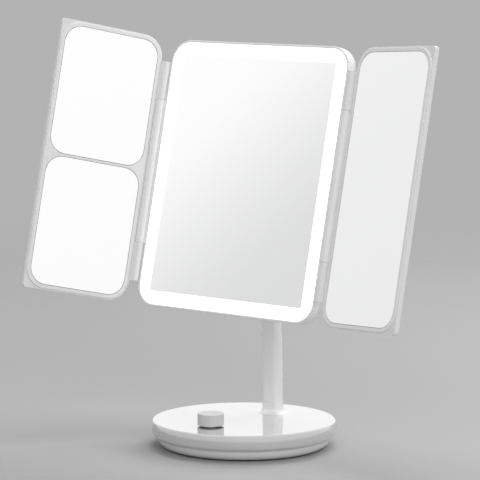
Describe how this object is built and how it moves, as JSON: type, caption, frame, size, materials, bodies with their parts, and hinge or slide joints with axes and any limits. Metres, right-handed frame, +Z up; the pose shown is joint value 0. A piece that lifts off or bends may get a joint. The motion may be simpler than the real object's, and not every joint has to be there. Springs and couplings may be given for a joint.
{
  "type": "trifold vanity mirror",
  "caption": "Trifold vanity mirror: lit centre mirror with two folding wing mirrors on a curved tilting stem and a round base with a dimmer knob.",
  "frame": {"origin": "centre of the base's underside, on the surface that the mirror stands on", "axes": "+Z up, the mirrors face -Y, +X on the right of someone who looks in them"},
  "size_m": [0.4063, 0.2312, 0.4225],
  "materials": {
    "base_white": "glossy",
    "stem_white": "satin",
    "knob_white": "satin",
    "panel_white": "satin",
    "frame_white": "satin",
    "diffuser": "frosted",
    "mirror_glass": "polished",
    "pad_rubber": "matt",
    "steel": "plated",
    "brass": "plain",
    "nylon": "plain",
    "battery_wrap": "film",
    "circuit_board": "solder mask",
    "socket_metal": "plated",
    "black_plastic": "plain",
    "foam_tape": "foam",
    "led_tape": "plain"
  },
  "bodies": {
    "base": {"base_top_shell": "base_white", "base_lower_shell": "base_white", "non_slip_pad": "pad_rubber", "ballast_plate": "steel", "base_screws": "steel", "battery_pack": "battery_wrap", "control_board": "circuit_board", "board_screws": "steel", "usb_board": "circuit_board", "usb_socket": "socket_metal", "encoder_body": "steel", "encoder_nut": "steel", "stem_clamp_plate": "steel", "stem_screws": "steel", "stem_foot": "stem_white", "stem_tube": "stem_white", "stem_cable": "black_plastic", "tilt_barrel": "stem_white"},
    "encoder_rotor": {"encoder_rotor": "black_plastic"},
    "knob": {"encoder_shaft": "steel", "knob_hub": "black_plastic", "knob_cap": "knob_white"},
    "head": {"tilt_bracket": "panel_white", "bracket_screws": "steel", "tilt_bolt": "steel", "tilt_nut": "steel", "tilt_washers": "brass", "tilt_caps": "panel_white", "centre_rear_cover": "panel_white", "centre_frame": "frame_white", "led_diffuser": "diffuser", "centre_mirror": "mirror_glass", "mirror_tape": "foam_tape", "reflector_tray": "panel_white", "tray_screws": "steel", "led_strip": "led_tape", "head_cable": "black_plastic", "left_hinge_pins": "steel", "right_hinge_pins": "steel"},
    "left_wing": {"left_rear_cover": "panel_white", "left_frame": "frame_white", "left_upper_mirror": "mirror_glass", "left_lower_mirror": "mirror_glass", "left_tape": "foam_tape", "left_hinge_bushes": "nylon", "left_hinge_plugs": "panel_white"},
    "right_wing": {"right_rear_cover": "panel_white", "right_frame": "frame_white", "right_mirror": "mirror_glass", "right_tape": "foam_tape", "right_hinge_bushes": "nylon", "right_hinge_plugs": "panel_white"}
  },
  "joints": [
    {"name": "head_tilt", "type": "hinge", "parent": "base", "child": "head", "pos_m": [0, 0.02129, 0.26139], "axis": [-1, 0, 0], "range_deg": [-20, 60]},
    {"name": "left_wing_fold", "type": "hinge", "parent": "head", "child": "left_wing", "pos_m": [-0.1185, -0.00561, 0.2676], "axis": [0, 0.225, 0.9744], "range_deg": [-66, 114]},
    {"name": "right_wing_fold", "type": "hinge", "parent": "head", "child": "right_wing", "pos_m": [0.1185, -0.00561, 0.2676], "axis": [0, -0.225, -0.9744], "range_deg": [-14.5, 165.5]},
    {"name": "knob_turn", "type": "hinge", "parent": "base", "child": "encoder_rotor", "pos_m": [0, -0.0505, 0.034], "axis": [0, 0, 1], "continuous": true},
    {"name": "knob_press", "type": "slide", "parent": "encoder_rotor", "child": "knob", "axis": [0, 0, -1], "range_m": [0, 0.0008], "stiffness_N_per_m": 3000, "springref_m": -0.0005}
  ]
}
